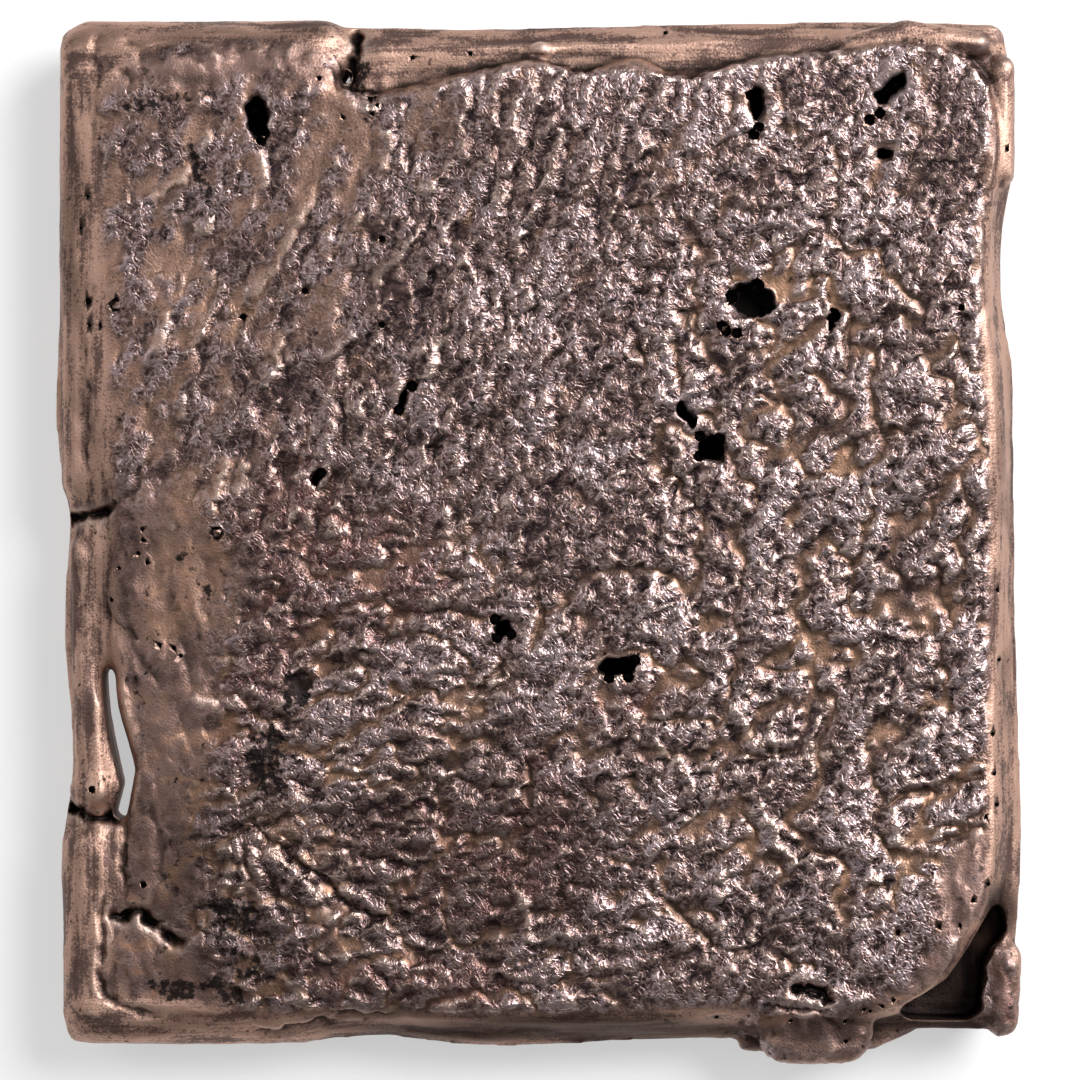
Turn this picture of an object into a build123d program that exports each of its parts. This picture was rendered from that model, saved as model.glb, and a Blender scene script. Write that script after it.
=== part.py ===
"""Hand-poured copper slab ingot, cast in an open square mould, as one solid.

The slab lies on its flat, mould-cast floor. Its walls lean out to the mould line, where the metal
last touched the mould. Above that a smooth shoulder leans back in to the crust, the free-frozen top
with its broad swell, gas pits and round edge. Rims of early-frozen metal run along the walls, a gap
right through the slab parts the left finger from the crust, one corner never filled, and a lobe of
late metal hangs over the near edge.

Millimetres. +Z is up, +Y points to the far edge and +X to the right. The origin is on the floor, in
the middle of the overall width and length.
"""

import os

from build123d import *

# Driving sizes of the slab
overall_width = 100.0
overall_length = 108.3
mould_line_height = 6.6
shoulder_height = 8.5
shoulder_inset = 2.2
floor_width = 96.4
floor_length = 102.8
floor_corner_radius = 4.0

# The crust: its height, the roundness of its edge and how far its swell rises and sinks
crust_height = 10.6
crust_root_height = 5.0
crust_edge_radius = 1.5
swell_rise = 0.45

# Rims that froze first, against the mould: the radius of each and the height of its axis
far_left_rim_radius = 3.4
far_left_rim_height = 6.3
near_left_rim_radius = 3.6
near_left_rim_height = 6.2
finger_radius = 1.9
finger_bulb_radius = 2.5
finger_height = 7.4
right_bead_radius = 1.4
right_bead_height = 8.0
collar_radius = 1.5
collar_height = 8.0

# Metal at the corner that never filled
corner_post_radius = 1.75
corner_post_height = 7.0
tail_radius = 1.7
tail_height = 5.2
hollow_floor_height = 2.4
hollow_turn_radius = 0.6

# Late metal over the near edge
lobe_length = 12.0
lobe_width = 7.6
lobe_corner_radius = 3.4
lobe_thickness = 6.4
lobe_height = 7.0
lobe_edge_radius = 1.6
tab_length = 3.4
tab_width = 2.6
tab_corner_radius = 0.6
tab_thickness = 2.4
tab_height = 5.6

# The through gap beside the finger, the gas pits and the overrun of every cut
gap_turn_radius = 0.3
deep_pit_depth = 5.0
shallow_pit_depth = 3.2
cut_overrun = 1.0

# The picture's frame: the pixels where the overall width and length begin and end
left_pixel = 57
right_pixel = 1022
far_pixel = 18
near_pixel = 1063

# The middle pixel of the floor
floor_pixel = (537, 534)

# Pixels of the mould line, side by side, going round from the near left corner
near_side_pixels = [
    (84, 1044), (180, 1044), (310, 1043), (372, 1037), (455, 1045), (640, 1041), (740, 1039),
    (905, 1030), (985, 1030),
]
right_side_pixels = [
    (1015, 1004), (1015, 946), (1020, 888), (1021, 788), (1018, 690), (1015, 561), (1014, 420),
    (1012, 362), (1006, 325), (1005, 215), (1012, 175), (1013, 90), (1005, 44),
]
far_side_pixels = [
    (985, 24), (900, 22), (746, 23), (643, 25), (540, 28), (413, 28), (262, 25), (80, 27),
]
left_side_pixels = [
    (59, 48), (58, 207), (58, 327), (60, 470), (69, 528), (65, 572), (70, 720), (69, 795),
    (62, 835), (61, 890), (65, 1022),
]

# Pixels of the crust's edge, going round from the far left corner
crust_edge_pixels = [
    (112, 62), (190, 50), (270, 50), (318, 62), (345, 92), (372, 95), (450, 78), (505, 66),
    (540, 62), (572, 73), (640, 62), (668, 74), (745, 62), (835, 53), (905, 44), (960, 58),
    (992, 100), (993, 200), (990, 280), (1000, 380), (1002, 560), (1000, 760), (994, 890),
    (967, 945), (944, 982), (900, 1012), (760, 1018), (640, 1025), (500, 1022), (380, 1020),
    (250, 1022), (140, 1012), (110, 975), (120, 925), (124, 868), (130, 806), (136, 770),
    (126, 728), (117, 690), (113, 640), (108, 580), (116, 520), (100, 455), (95, 350), (94, 200),
    (98, 100),
]

# Roundness of the crust's edge: how far down and how far in each step lies, as shares of its radius
crust_edge_shares = [(1.0, 0.0), (0.3, 0.3)]

# Swell of the crust as shares of its rise: rows from the near edge to the far one, left to right
swell_shares = [
    [-0.6, -0.9, -0.2, 0.1, 0.5, 0.2],
    [-1.0, -0.4, 0.3, 0.2, 0.9, 0.3],
    [-0.8, 0.2, -0.2, 0.5, -0.1, 0.4],
    [-0.2, 0.4, 0.1, -0.6, 0.6, 0.2],
    [0.3, -0.3, 0.6, 0.2, -0.4, 0.5],
    [0.1, 0.2, -0.4, -0.1, -0.5, -0.1],
]

# Pixels along each rim and bead
far_left_rim_pixels = [(322, 53), (92, 54), (93, 480)]
near_left_rim_pixels = [(96, 850), (97, 1010), (300, 1010)]
finger_pixels = [(88, 552), (94, 790)]
right_bead_pixels = [(1000, 70), (1000, 176)]
collar_pixels = [(850, 50), (905, 35), (975, 48)]
corner_post_pixels = [(1004, 958), (1001, 1020)]
tail_pixels = [(868, 1036), (905, 1019)]

# Pixels of the late metal over the near edge
lobe_pixel = (814, 1026)
tab_pixel = (755, 1040)

# Pixels round the through gap and the corner that never filled
gap_pixels = [
    (103, 668), (114, 666), (118, 704), (136, 770), (126, 822), (113, 816), (121, 785), (112, 745),
    (106, 712),
]
hollow_pixels = [
    (998, 895), (1006, 930), (984, 962), (980, 1012), (966, 1020), (905, 1018), (895, 1008),
    (944, 978), (968, 944),
]

# Gas pits: the mouth's middle pixel, its length and width in pixels, and its turn in degrees
deep_pits = {
    "far_left": ((258, 118), (40, 20), 100),
    "far_middle": ((755, 108), (34, 12), 88),
    "far_right": ((888, 92), (38, 14), 42),
    "far_right_round": ((882, 157), (16, 12), 15),
    "middle_slit": ((684, 415), (30, 10), -52),
    "middle_well": ((710, 449), (27, 24), 0),
    "near_middle": ((503, 628), (19, 12), 45),
    "near_cave": ((616, 666), (38, 18), 5),
}
shallow_pits = {
    "bowl": ((751, 303), (44, 32), -10),
    "right_slit": ((829, 324), (20, 8), 80),
    "left_crescent": ((403, 398), (28, 7), 75),
    "left_dot": ((317, 480), (15, 9), 85),
}
lip_hole = ((346, 80), (18, 10), 70)

pixels_wide = right_pixel - left_pixel
pixels_long = near_pixel - far_pixel

# Every cut reaches past the highest swell of the crust
cut_top = crust_height + swell_rise + cut_overrun


def place(pixel):
    """The model's x and y for a pixel of the picture."""
    across, down = pixel
    x = ((across - left_pixel) / pixels_wide - 1 / 2) * overall_width
    y = (1 / 2 - (down - far_pixel) / pixels_long) * overall_length
    return x, y


def inset_place(pixel, inset):
    """The same place, drawn towards the middle so that the outline loses inset on each side."""
    x, y = place(pixel)
    return x * (1 - 2 * inset / overall_width), y * (1 - 2 * inset / overall_length)


def mould_section(height, inset):
    """The mould line's outline at a height: four wavy sides joined by bowed corners."""
    sides = [near_side_pixels, right_side_pixels, far_side_pixels, left_side_pixels]
    headings = [(1, 0), (0, 1), (-1, 0), (0, -1)]
    with BuildSketch(Plane.XY.offset(height)) as section:
        with BuildLine():
            for index, side in enumerate(sides):
                following = (index + 1) % len(sides)
                Spline(*[inset_place(pixel, inset) for pixel in side])
                Spline(
                    inset_place(side[-1], inset),
                    inset_place(sides[following][0], inset),
                    tangents=[headings[index], headings[following]],
                )
        make_face()
    return section.sketch


def crust_section(height, inset):
    """The crust's outline at a height."""
    with BuildSketch(Plane.XY.offset(height)) as section:
        with BuildLine():
            Spline(*[inset_place(pixel, inset) for pixel in crust_edge_pixels], periodic=True)
        make_face()
    return section.sketch


def swell_face():
    """The crust's broad swell, as one smooth face that reaches past the crust all round."""
    steps = len(swell_shares) - 1
    points = [
        [
            Vector(
                (column / steps - 1 / 2) * (overall_width + cut_overrun),
                (row / steps - 1 / 2) * (overall_length + cut_overrun),
                crust_height + swell_rise * share,
            )
            for column, share in enumerate(shares)
        ]
        for row, shares in enumerate(swell_shares)
    ]
    return Face.make_surface_from_array_of_points(points)


def bead(pixels, radius, height):
    """A round-ended bead of frozen metal, in straight runs with round turns."""
    points = [Vector(*place(pixel), height) for pixel in pixels]
    with BuildPart() as made:
        for start, end in zip(points, points[1:]):
            with BuildSketch(Plane(start, z_dir=end - start)):
                Circle(radius)
            extrude(amount=(end - start).length)
        with Locations(*points):
            Sphere(radius)
    return made.part


def pit_mouth(pixel, mouth_pixels, turn):
    """A gas pit's mouth, a round-ended slot, in the sketch that is being drawn."""
    length, width = [count * overall_width / pixels_wide for count in mouth_pixels]
    with Locations(place(pixel)):
        SlotOverall(length, width, rotation=turn)


# The crust: the free-frozen top, rounded in to its edge and bounded by the swell above
with BuildPart() as crust:
    add(crust_section(crust_root_height, 0))
    for drop_share, inset_share in crust_edge_shares:
        add(crust_section(crust_height - crust_edge_radius * drop_share, crust_edge_radius * inset_share))
    add(crust_section(cut_top, crust_edge_radius))
    loft(ruled=True)
    split(bisect_by=swell_face(), keep=Keep.TOP)

# The lobe of late metal, rounded above and below
with BuildPart() as lobe:
    with BuildSketch(Plane.XY.offset(lobe_height - lobe_thickness / 2)):
        with Locations(place(lobe_pixel)):
            RectangleRounded(lobe_length, lobe_width, lobe_corner_radius)
    extrude(amount=lobe_thickness)
    fillet(lobe.edges().group_by(Axis.Z)[0] + lobe.edges().group_by(Axis.Z)[-1], lobe_edge_radius)

# The tab of metal that the lobe hangs over
with BuildPart() as tab:
    with BuildSketch(Plane.XY.offset(tab_height - tab_thickness / 2)):
        with Locations(place(tab_pixel)):
            RectangleRounded(tab_length, tab_width, tab_corner_radius)
    extrude(amount=tab_thickness)

# The finger beside the gap, with the bulb at its near end
with BuildPart() as finger:
    add(bead(finger_pixels, finger_radius, finger_height))
    with Locations((*place(finger_pixels[-1]), finger_height)):
        Sphere(finger_bulb_radius)

# Rims and beads that froze against the mould, and the metal about the near edge
wall_metal = [
    bead(far_left_rim_pixels, far_left_rim_radius, far_left_rim_height),
    bead(near_left_rim_pixels, near_left_rim_radius, near_left_rim_height),
    finger.part,
    bead(right_bead_pixels, right_bead_radius, right_bead_height),
    bead(collar_pixels, collar_radius, collar_height),
    bead(tail_pixels, tail_radius, tail_height),
    lobe.part,
    tab.part,
]
corner_post = bead(corner_post_pixels, corner_post_radius, corner_post_height)

# The whole ingot: floor, mould line and shoulder, then the crust, then the metal along the walls
with BuildPart() as ingot:
    with BuildSketch():
        with Locations(place(floor_pixel)):
            RectangleRounded(floor_width, floor_length, floor_corner_radius)
    add(mould_section(mould_line_height, 0))
    add(mould_section(shoulder_height, shoulder_inset))
    loft(ruled=True)
    add(crust.part)
    for piece in wall_metal:
        add(piece)

    # The through gap beside the finger
    with BuildSketch():
        with BuildLine():
            FilletPolyline(*[place(pixel) for pixel in gap_pixels], radius=gap_turn_radius, close=True)
        make_face()
    extrude(amount=cut_top, mode=Mode.SUBTRACT)

    # The corner that never filled, and the post of metal that stands in it
    with BuildSketch(Plane.XY.offset(hollow_floor_height)):
        with BuildLine():
            FilletPolyline(*[place(pixel) for pixel in hollow_pixels], radius=hollow_turn_radius, close=True)
        make_face()
    extrude(amount=cut_top, mode=Mode.SUBTRACT)
    add(corner_post)

    # Gas pits, and the hole beside the curled lip that goes right through
    for pits, depth in [(deep_pits, deep_pit_depth), (shallow_pits, shallow_pit_depth)]:
        with BuildSketch(Plane.XY.offset(crust_height - depth)):
            for pit in pits.values():
                pit_mouth(*pit)
        extrude(amount=cut_top, mode=Mode.SUBTRACT)
    with BuildSketch():
        pit_mouth(*lip_hole)
    extrude(amount=cut_top, mode=Mode.SUBTRACT)

ingot.part.label = "ingot"
os.makedirs("parts", exist_ok=True)
export_step(ingot.part, "parts/ingot.step")
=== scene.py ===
# %% [markdown]
# A hand-poured copper ingot. One pour of metal froze in an open square mould: the underside and the
# walls took the mould's shape, and the top froze free, so it wrinkled into a crust with gas pits.
# The exact model gives the slab its size. Here it gets its crust, its creases and its oxide skin.

# %% Load the slab
import math

import bpy
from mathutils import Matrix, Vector


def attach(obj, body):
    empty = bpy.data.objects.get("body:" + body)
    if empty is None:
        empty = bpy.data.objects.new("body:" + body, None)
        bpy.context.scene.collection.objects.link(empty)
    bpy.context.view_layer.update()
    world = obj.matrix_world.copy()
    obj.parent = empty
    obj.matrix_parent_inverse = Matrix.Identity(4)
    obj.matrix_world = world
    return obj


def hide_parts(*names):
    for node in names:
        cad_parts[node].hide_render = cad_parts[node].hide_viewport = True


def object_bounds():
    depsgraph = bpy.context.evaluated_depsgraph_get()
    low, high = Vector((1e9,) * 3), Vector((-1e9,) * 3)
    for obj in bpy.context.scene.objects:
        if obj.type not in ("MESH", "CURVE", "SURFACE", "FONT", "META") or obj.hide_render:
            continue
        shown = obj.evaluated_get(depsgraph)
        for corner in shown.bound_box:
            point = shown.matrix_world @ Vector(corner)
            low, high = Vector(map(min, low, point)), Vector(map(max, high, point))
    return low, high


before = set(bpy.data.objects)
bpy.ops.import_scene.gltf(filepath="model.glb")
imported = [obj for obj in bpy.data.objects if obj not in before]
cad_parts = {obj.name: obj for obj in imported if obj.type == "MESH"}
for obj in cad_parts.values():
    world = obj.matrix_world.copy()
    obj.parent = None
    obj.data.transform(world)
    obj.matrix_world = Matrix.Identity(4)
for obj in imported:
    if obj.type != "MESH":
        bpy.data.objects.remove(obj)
cad_low, cad_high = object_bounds()
slab_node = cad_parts["ingot"]
print("slab box", [round(value * 1000, 2) for value in (*cad_low, *cad_high)], "mm")

# %% [markdown]
# Places on the slab are read off the picture as pixels. The picture looks straight down from a
# camera hung over the slab's middle, so a pixel becomes a place by one scale and one height: what
# lies nearer to the lens shows a little larger, and is drawn in by as much.

# %% Turn a pixel into a place on the slab
mm = 0.001
picture_size = 1080
picture_width_mm = 111.92
camera_height = 600 * mm
mould_line_height = 6.6 * mm
crust_height = 10.6 * mm


def place(pixel, height=crust_height):
    """The x and y, in metres, of what shows at a pixel and lies at a height above the floor."""
    across, down = pixel
    metres_for_pixel = picture_width_mm * mm / picture_size
    nearness = (camera_height - height) / (camera_height - mould_line_height)
    x = (across - picture_size / 2) * metres_for_pixel * nearness
    y = (picture_size / 2 - down) * metres_for_pixel * nearness
    return x, y


print("one pixel is", round(place((picture_size / 2 + 1, 0))[0] * 1000, 4), "mm on the crust")

# %% [markdown]
# The crust could be sculpted by hand, but a sculpt can't be written down. Instead the slab's own
# mesh is copied, its loose triangles are merged, and a voxel remesh gives it even small faces that
# later steps can push about. A smooth pass melts the joins of the beads, as hot metal would.

# %% Copy the slab and give it even faces
voxel_size = 0.3 * mm


def pick(obj):
    """Leaves one object selected and active."""
    bpy.ops.object.select_all(action="DESELECT")
    obj.select_set(True)
    bpy.context.view_layer.objects.active = obj


def finish_modifier(obj, kind, name, **settings):
    """Adds a modifier with its settings and applies it."""
    modifier = obj.modifiers.new(name, kind)
    for key, value in settings.items():
        setattr(modifier, key, value)
    pick(obj)
    bpy.ops.object.modifier_apply(modifier=name)


pick(slab_node)
bpy.ops.object.duplicate()
ingot = bpy.context.view_layer.objects.active
ingot.name = "copper_ingot"
ingot.parent = None
for key in list(ingot.keys()):
    del ingot[key]
ingot.data.materials.clear()
bpy.ops.object.mode_set(mode="EDIT")
bpy.ops.mesh.select_all(action="SELECT")
bpy.ops.mesh.remove_doubles(threshold=0.002 * mm)
bpy.ops.object.mode_set(mode="OBJECT")
finish_modifier(ingot, "REMESH", "even faces", mode="VOXEL", voxel_size=voxel_size)
finish_modifier(ingot, "SMOOTH", "melt joins", factor=0.5, iterations=6)
print("even faces:", len(ingot.data.polygons))

# %% [markdown]
# Geometry Nodes will push the faces about, and shader nodes will colour them. Both kinds of tree
# are laid with the same small helper: each call adds one node, feeds its sockets and hands back its
# output, so a line of code reads like the sum that it stands for.

# %% A helper that lays nodes
class Graph:
    """A node tree that is laid one call at a time."""

    def __init__(self, tree):
        self.tree = tree

    def feed(self, socket, value):
        """Links an output to a socket, or sets the socket's own value."""
        if isinstance(value, bpy.types.NodeSocket):
            self.tree.links.new(value, socket)
        else:
            socket.default_value = value

    def add(self, kind, *inputs, **named):
        """Adds a node. Capital names are sockets, and the others are the node's settings."""
        node = self.tree.nodes.new(kind)
        for key, value in named.items():
            if key[0].islower():
                setattr(node, key, value)
        open_sockets = [socket for socket in node.inputs if socket.enabled]
        for socket, value in zip(open_sockets, inputs):
            self.feed(socket, value)
        for key, value in named.items():
            if key[0].isupper():
                name = key.replace("_", " ")
                self.feed(next(socket for socket in open_sockets if socket.name == name), value)
        return next((socket for socket in node.outputs if socket.enabled), None)

    def math(self, operation, *values):
        """One Math node."""
        return self.add("ShaderNodeMath", *values, operation=operation)

    def vector(self, operation, *values, **named):
        """One Vector Math node."""
        return self.add("ShaderNodeVectorMath", *values, operation=operation, **named)

    def sum(self, *values):
        """All values added up."""
        total = values[0]
        for value in values[1:]:
            total = self.math("ADD", total, value)
        return total

    def times(self, *values):
        """All values multiplied."""
        product = values[0]
        for value in values[1:]:
            product = self.math("MULTIPLY", product, value)
        return product

    def most(self, *values):
        """The largest of the values."""
        largest = values[0]
        for value in values[1:]:
            largest = self.math("MAXIMUM", largest, value)
        return largest

    def less(self, value, other):
        """The first value less the second."""
        return self.math("SUBTRACT", value, other)

    def rest(self, share):
        """What a share leaves of 1."""
        return self.less(1.0, share)

    def ease(self, value, low, high):
        """0 at low, 1 at high and a smooth rise between them. High may be the smaller one."""
        return self.add("ShaderNodeMapRange", value, low, high, 0.0, 1.0, interpolation_type="SMOOTHSTEP")

    def blend(self, share, first, second):
        """The first value where share is 0, and the second where it is 1."""
        return self.sum(first, self.times(share, self.less(second, first)))

    def noise(self, spot, size, detail=2.0, roughness=0.5, distortion=0.0):
        """A noise about 0, up to about 0.3 each way, whose lumps are about one size across."""
        wave = self.add(
            "ShaderNodeTexNoise", Vector=spot, Scale=1 / size, Detail=detail, Roughness=roughness,
            Distortion=distortion,
        )
        return self.less(wave, 0.5)

    def wander(self, spot, size, detail):
        """A push about 0 along each axis, which changes over about one size."""
        wave = self.add("ShaderNodeTexNoise", Vector=spot, Scale=1 / size, Detail=detail)
        return self.vector("SUBTRACT", wave.node.outputs["Color"], (0.5, 0.5, 0.5))

    def stretched(self, spot, turn_degrees, sizes):
        """A spot turned about the upright axis, then measured in its own size along each axis."""
        angle = -math.radians(turn_degrees)
        turned = self.add("ShaderNodeVectorRotate", spot, rotation_type="Z_AXIS", Angle=angle)
        return self.vector("DIVIDE", turned, sizes)

    def split(self, vector):
        """The x, y and z of a vector."""
        return self.add("ShaderNodeSeparateXYZ", vector).node.outputs


print("helper ready")

# %% [markdown]
# What the metal is like changes over the slab, so each kind of ground is written as a few ovals in
# the picture: the middle pixel, the half length and half width in pixels, and a turn in degrees. Some
# ovals mark painted shade rather than a kind of metal. Late metal is the lobe and the post, which
# count as crust right out to their sides.

# %% Kinds of ground
smooth_ground = [
    ((160, 690), (52, 190), 0.0),
    ((165, 580), (62, 100), 0.0),
    ((150, 985), (75, 60), 0.0),
    ((130, 890), (70, 95), 0.0),
    ((230, 66), (110, 22), 0.0),
    ((120, 60), (55, 30), 20.0),
    ((905, 1000), (60, 14), 25.0),
    ((938, 966), (40, 14), 45.0),
    ((972, 880), (26, 52), 0.0),
    ((812, 1040), (66, 26), 0.0),
    ((1002, 990), (18, 50), 0.0),
]
melted_ground = [
    ((95, 270), (45, 300), 0.0),
    ((205, 60), (150, 45), 0.0),
    ((100, 590), (30, 85), 0.0),
    ((115, 950), (60, 110), 0.0),
    ((420, 1015), (340, 30), 0.0),
    ((1002, 560), (22, 300), 0.0),
]
soot_and_shade_ground = [
    ((234, 914), (26, 19), -20.0),
    ((243, 962), (16, 20), 20.0),
    ((226, 992), (20, 12), -20.0),
    ((178, 990), (26, 11), 0.0),
    ((268, 762), (22, 36), 10.0),
    ((296, 690), (22, 16), 60.0),
    ((180, 556), (10, 4), 10.0),
    ((204, 588), (17, 5), -52.0),
    # Painted shadow: this oval darkens the ground beside the curled lip, where the lip casts its shadow.
    ((360, 72), (9, 26), 0.0),
    ((200, 170), (8, 30), 20.0),
    ((165, 100), (50, 7), 10.0),
]
coppery_ground = [
    ((168, 592), (34, 54), -10.0),
    ((206, 566), (14, 40), -30.0),
    ((190, 500), (30, 30), 0.0),
    ((300, 840), (26, 40), 40.0),
    ((225, 318), (60, 16), 25.0),
]
ruddy_ground = [
    ((395, 570), (55, 60), 0.0),
    ((250, 715), (40, 60), 0.0),
    ((400, 985), (130, 30), 0.0),
    ((545, 790), (26, 50), 0.0),
    ((620, 700), (40, 30), 0.0),
    ((300, 560), (60, 110), 0.0),
    ((480, 860), (120, 60), 0.0),
    ((210, 1024), (60, 8), 0.0),
    ((1003, 1000), (16, 40), 0.0),
]
# Painted shade: these ovals darken the near edge and the ground round the unfilled corner.
painted_shade_ground = [
    ((560, 1033), (230, 14), 0.0),
    ((1004, 912), (18, 32), 0.0),
    ((935, 1027), (62, 13), 0.0),
]
# Dimmed ground: partly a darker tone of the metal and partly painted shade along the near edge.
dim_and_shaded_ground = [
    ((350, 1005), (150, 35), -10.0),
    ((240, 945), (60, 75), 0.0),
    ((480, 850), (150, 110), 0.0),
    ((120, 560), (16, 60), -5.0),
    ((85, 420), (16, 40), 0.0),
    ((76, 240), (14, 90), 0.0),
    ((205, 36), (150, 15), 0.0),
    ((220, 890), (85, 120), 0.0),
    ((1010, 560), (10, 200), 0.0),
    ((1000, 995), (20, 50), 0.0),
    ((848, 1036), (34, 26), 0.0),
]
late_metal = [
    ((805, 1036), (72, 30), 0.0),
    ((1002, 990), (18, 50), 0.0),
]
unfilled_corner = ((955, 985), (58, 50), 0.0)
fan_ground = ((330, 890), (190, 120), -30.0)
lumpy_ground = ((830, 560), (290, 480), 0.0)
nub = ((541, 51), (10, 9), 0.0)
all_kinds = (
    smooth_ground, melted_ground, soot_and_shade_ground, coppery_ground, ruddy_ground, painted_shade_ground, dim_and_shaded_ground,
    late_metal, [unfilled_corner, fan_ground, lumpy_ground, nub],
)
print("ovals:", sum(len(kind) for kind in all_kinds))

# %% [markdown]
# An oval becomes a mask by a little algebra laid as nodes: a point's place is turned back into a
# pixel, measured from the oval's middle in its two radii, and faded out near the border. Several
# ovals become one mask by taking the largest of theirs.

# %% Masks from the ovals


def pixel_sockets(graph, position):
    """The picture's across and down, in pixels, of a position on the crust."""
    metres_for_pixel = place((picture_size / 2 + 1, 0))[0]
    x, y = graph.split(position)[:2]
    across = graph.sum(graph.times(x, 1 / metres_for_pixel), picture_size / 2)
    down = graph.sum(graph.times(y, -1 / metres_for_pixel), picture_size / 2)
    return across, down


def oval(graph, across, down, middle, radii, turn_degrees=0.0, border=0.4):
    """A mask that is 1 in an oval about a pixel and fades out over a share of its radii."""
    right = graph.less(across, middle[0])
    below = graph.less(down, middle[1])
    cosine = math.cos(math.radians(turn_degrees))
    sine = math.sin(math.radians(turn_degrees))
    along = graph.sum(graph.times(right, cosine / radii[0]), graph.times(below, -sine / radii[0]))
    over = graph.sum(graph.times(right, sine / radii[1]), graph.times(below, cosine / radii[1]))
    reach = graph.math("SQRT", graph.sum(graph.times(along, along), graph.times(over, over)))
    return graph.ease(reach, 1 + border, 1 - border)


def ovals(graph, across, down, spots):
    """Several ovals as one mask."""
    return graph.most(*[oval(graph, across, down, *spot) for spot in spots])


print("mask helpers ready")

# %% [markdown]
# Some wrinkles are too plain to leave to noise: the steps that run down the far left of the crust,
# the bare channels round the lumps on the right, the cracks of the near left corner, and the deep
# gouges where two folds of metal met. Each is drawn as a curve through pixels of the picture, and
# later the relief rises or sinks near it.

# %% Lines of the steps
step_lines = [
    [(327, 185), (308, 208), (284, 250), (272, 273), (234, 313)],
    [(422, 225), (408, 254), (385, 269), (374, 292)],
    [(215, 212), (209, 229), (198, 239)],
    [(194, 166), (181, 179), (150, 202)],
    [(265, 149), (263, 168), (261, 195)],
    [(393, 130), (393, 149), (383, 174)],
    [(288, 329), (276, 350), (276, 369), (265, 397)],
    [(448, 334), (433, 373), (425, 388)],
    [(173, 311), (158, 353)],
    [(184, 390), (186, 420)],
    [(364, 212), (355, 235)],
    [(215, 269), (213, 288)],
    [(448, 172), (425, 200)],
    [(334, 384), (332, 407)],
    [(376, 386), (357, 420)],
    [(213, 128), (196, 164)],
    [(341, 154), (343, 170)],
    [(357, 332), (322, 367)],
    [(230, 455), (222, 480), (214, 520)],
    [(248, 460), (242, 500)],
    [(513, 884), (529, 905), (533, 934), (540, 946)],
    [(625, 909), (637, 932), (650, 934)],
    [(719, 916), (728, 941), (749, 950)],
    [(754, 921), (756, 946)],
    [(726, 863), (731, 895), (724, 909)],
    [(655, 730), (660, 758), (683, 758), (696, 781), (699, 801)],
    [(722, 700), (747, 719), (754, 742), (767, 751)],
    [(781, 707), (770, 739), (786, 767)],
    [(749, 777), (758, 803), (777, 838), (787, 850), (803, 859), (831, 857)],
    [(899, 812), (897, 838), (901, 852)],
    [(300, 874), (321, 897), (339, 925)],
    [(272, 968), (295, 989), (322, 1014)],
    [(257, 1019), (278, 1031)],
    [(234, 835), (240, 856), (252, 890), (270, 902)],
    [(247, 842), (261, 884)],
    [(229, 838), (227, 895)],
    [(193, 690), (210, 702), (226, 718)],
    [(218, 782), (232, 796), (244, 807)],
]
print("steps:", len(step_lines))

# %% [markdown]
# Channels are wide and shallow, cracks narrow, creases softer, and gouges deepest. All of them, and
# the steps, become curve objects, and a geometry tree can measure how near each point is to one.

# %% Lines of the channels, cracks and gouges
channel_lines = [
    [(702, 299), (683, 320), (675, 347), (683, 378), (677, 403)],
    [(811, 251), (815, 278), (830, 301), (850, 309), (851, 336), (848, 374), (832, 397)],
    [(704, 408), (719, 431)],
    [(920, 429), (897, 427), (876, 435), (853, 437), (848, 466)],
    [(758, 391), (773, 403), (792, 403)],
    [(670, 450), (666, 489)],
    [(637, 338), (639, 378)],
    [(545, 590), (540, 625), (528, 655)],
    [(515, 650), (483, 687), (460, 715)],
    [(529, 753), (531, 794), (522, 822)],
    [(640, 880), (678, 916), (705, 937), (735, 953), (763, 950)],
    [(993, 770), (965, 782), (934, 789), (906, 794), (883, 810)],
    [(990, 831), (965, 828), (941, 840), (925, 850)],
    [(892, 880), (869, 887), (850, 899), (826, 908)],
    [(756, 953), (777, 950), (798, 965), (817, 967), (831, 958)],
    [(880, 470), (858, 560), (846, 588)],
    [(940, 560), (935, 590), (950, 620)],
]
crack_lines = [
    [(243, 820), (270, 839), (287, 851), (314, 874), (345, 901), (371, 912), (410, 929)],
    [(107, 880), (101, 940), (99, 985), (115, 1010), (165, 1017)],
    [(770, 1006), (800, 1009), (830, 1007)],
    [(993, 180), (990, 235), (992, 290), (998, 345)],
    [(126, 812), (122, 845), (121, 890)],
    [(245, 1024), (270, 1036), (321, 1022), (348, 1013), (408, 1013)],
]
crease_lines = [
    [(101, 25), (97, 60), (93, 100), (90, 150)],
    [(118, 38), (150, 47), (170, 47), (205, 44)],
    [(104, 60), (125, 72), (150, 66)],
    [(104, 600), (118, 626), (136, 648), (165, 690)],
    [(122, 508), (131, 493), (140, 478), (150, 458)],
    [(84, 330), (88, 400), (86, 470)],
    [(76, 560), (82, 610), (80, 660)],
    [(150, 800), (165, 850), (160, 890)],
]
gouge_lines = [
    [(356, 22), (354, 50), (351, 80), (358, 95), (385, 98)],
    [(52, 527), (70, 521), (90, 512), (118, 504)],
    [(104, 912), (124, 919), (136, 908), (155, 925), (185, 950)],
    [(50, 798), (70, 811), (95, 822), (130, 817)],
    [(788, 994), (812, 988), (836, 1000)],
]


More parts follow.
